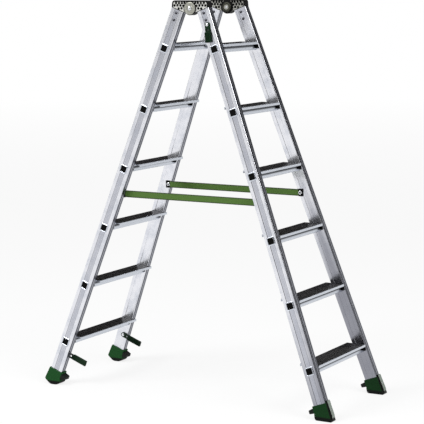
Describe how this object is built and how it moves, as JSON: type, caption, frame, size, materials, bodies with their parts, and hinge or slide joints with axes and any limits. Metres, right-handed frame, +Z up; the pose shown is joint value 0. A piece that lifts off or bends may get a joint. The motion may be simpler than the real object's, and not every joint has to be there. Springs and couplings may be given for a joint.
{
  "type": "folding double-sided ladder",
  "caption": "Free-standing folding ladder: two flared aluminium sections with flat treads, cast locking hinges on top, webbing spreader straps, catch levers and moulded plastic feet.",
  "frame": {"origin": "on the floor, midway between the feet, under the middle of the hinge axis", "axes": "+Z up, +Y along the hinge axis from front to back, +X from the left section to the right one"},
  "size_m": [1.281, 0.5036, 1.5319],
  "materials": {
    "stile_aluminium": "extruded, mill finish",
    "tread_aluminium": "extruded, ribbed top",
    "foot_plastic": "moulded",
    "hinge_casting": "cast, dark",
    "pivot_steel": "turned",
    "bright_steel": "zinc plated",
    "strap_webbing": "woven",
    "catch_plastic": "moulded, ribbed grip",
    "plug_plastic": "moulded"
  },
  "bodies": {
    "left_section": {"left_front_stile": "stile_aluminium", "left_back_stile": "stile_aluminium", "left_tread_1": "tread_aluminium", "left_tread_2": "tread_aluminium", "left_tread_3": "tread_aluminium", "left_tread_4": "tread_aluminium", "left_tread_5": "tread_aluminium", "left_tread_6": "tread_aluminium", "left_front_foot": "foot_plastic", "left_back_foot": "foot_plastic", "left_front_foot_screw": "bright_steel", "left_back_foot_screw": "bright_steel", "front_hinge_left_arm": "hinge_casting", "back_hinge_left_arm": "hinge_casting", "front_hinge_left_rivet_1": "bright_steel", "front_hinge_left_rivet_2": "bright_steel", "back_hinge_left_rivet_1": "bright_steel", "back_hinge_left_rivet_2": "bright_steel", "front_hinge_pivot": "pivot_steel", "back_hinge_pivot": "pivot_steel", "front_hinge_nut": "pivot_steel", "back_hinge_nut": "pivot_steel", "front_lock_spring": "bright_steel", "back_lock_spring": "bright_steel", "front_strap": "strap_webbing", "back_strap": "strap_webbing", "front_strap_left_stud": "bright_steel", "back_strap_left_stud": "bright_steel", "front_low_catch_rivet": "bright_steel", "back_low_catch_rivet": "bright_steel"},
    "right_section": {"right_front_stile": "stile_aluminium", "right_back_stile": "stile_aluminium", "right_tread_1": "tread_aluminium", "right_tread_2": "tread_aluminium", "right_tread_3": "tread_aluminium", "right_tread_4": "tread_aluminium", "right_tread_5": "tread_aluminium", "right_tread_6": "tread_aluminium", "right_front_foot": "foot_plastic", "right_back_foot": "foot_plastic", "right_front_foot_screw": "bright_steel", "right_back_foot_screw": "bright_steel", "front_hinge_right_arm": "hinge_casting", "back_hinge_right_arm": "hinge_casting", "front_hinge_right_rivet_1": "bright_steel", "front_hinge_right_rivet_2": "bright_steel", "back_hinge_right_rivet_1": "bright_steel", "back_hinge_right_rivet_2": "bright_steel", "front_strap_right_stud": "bright_steel", "back_strap_right_stud": "bright_steel", "top_catch_rivet": "bright_steel"},
    "front_lock_button": {"front_lock_button": "bright_steel"},
    "back_lock_button": {"back_lock_button": "bright_steel"},
    "front_low_catch": {"front_low_catch": "catch_plastic"},
    "back_low_catch": {"back_low_catch": "catch_plastic"},
    "top_catch": {"top_catch": "catch_plastic"}
  },
  "joints": [
    {"name": "ladder_fold", "type": "hinge", "parent": "left_section", "child": "right_section", "pos_m": [0, 0, 1.50186], "axis": [0, 1, 0], "range_deg": [0, 40.6], "deforming": ["front_strap", "back_strap"]},
    {"name": "front_lock_press", "type": "slide", "parent": "left_section", "child": "front_lock_button", "axis": [0, 1, 0], "range_m": [0, 0.0035], "stiffness_N_per_m": 800, "deforming": ["front_lock_spring"]},
    {"name": "back_lock_press", "type": "slide", "parent": "left_section", "child": "back_lock_button", "axis": [0, -1, 0], "range_m": [0, 0.0035], "stiffness_N_per_m": 800, "deforming": ["back_lock_spring"]},
    {"name": "front_low_catch_turn", "type": "hinge", "parent": "left_section", "child": "front_low_catch", "pos_m": [-0.55611, -0.20953, 0.12101], "axis": [-0.0192, 0.9985, -0.052], "range_deg": [-15, 35]},
    {"name": "back_low_catch_turn", "type": "hinge", "parent": "left_section", "child": "back_low_catch", "pos_m": [-0.55611, 0.20953, 0.12101], "axis": [0.0192, 0.9985, 0.052], "range_deg": [-15, 35]},
    {"name": "top_catch_turn", "type": "hinge", "parent": "right_section", "child": "top_catch", "pos_m": [0.07838, -0.16221, 1.44131], "axis": [0.0192, 0.9985, -0.052], "range_deg": [-45, 45]}
  ]
}
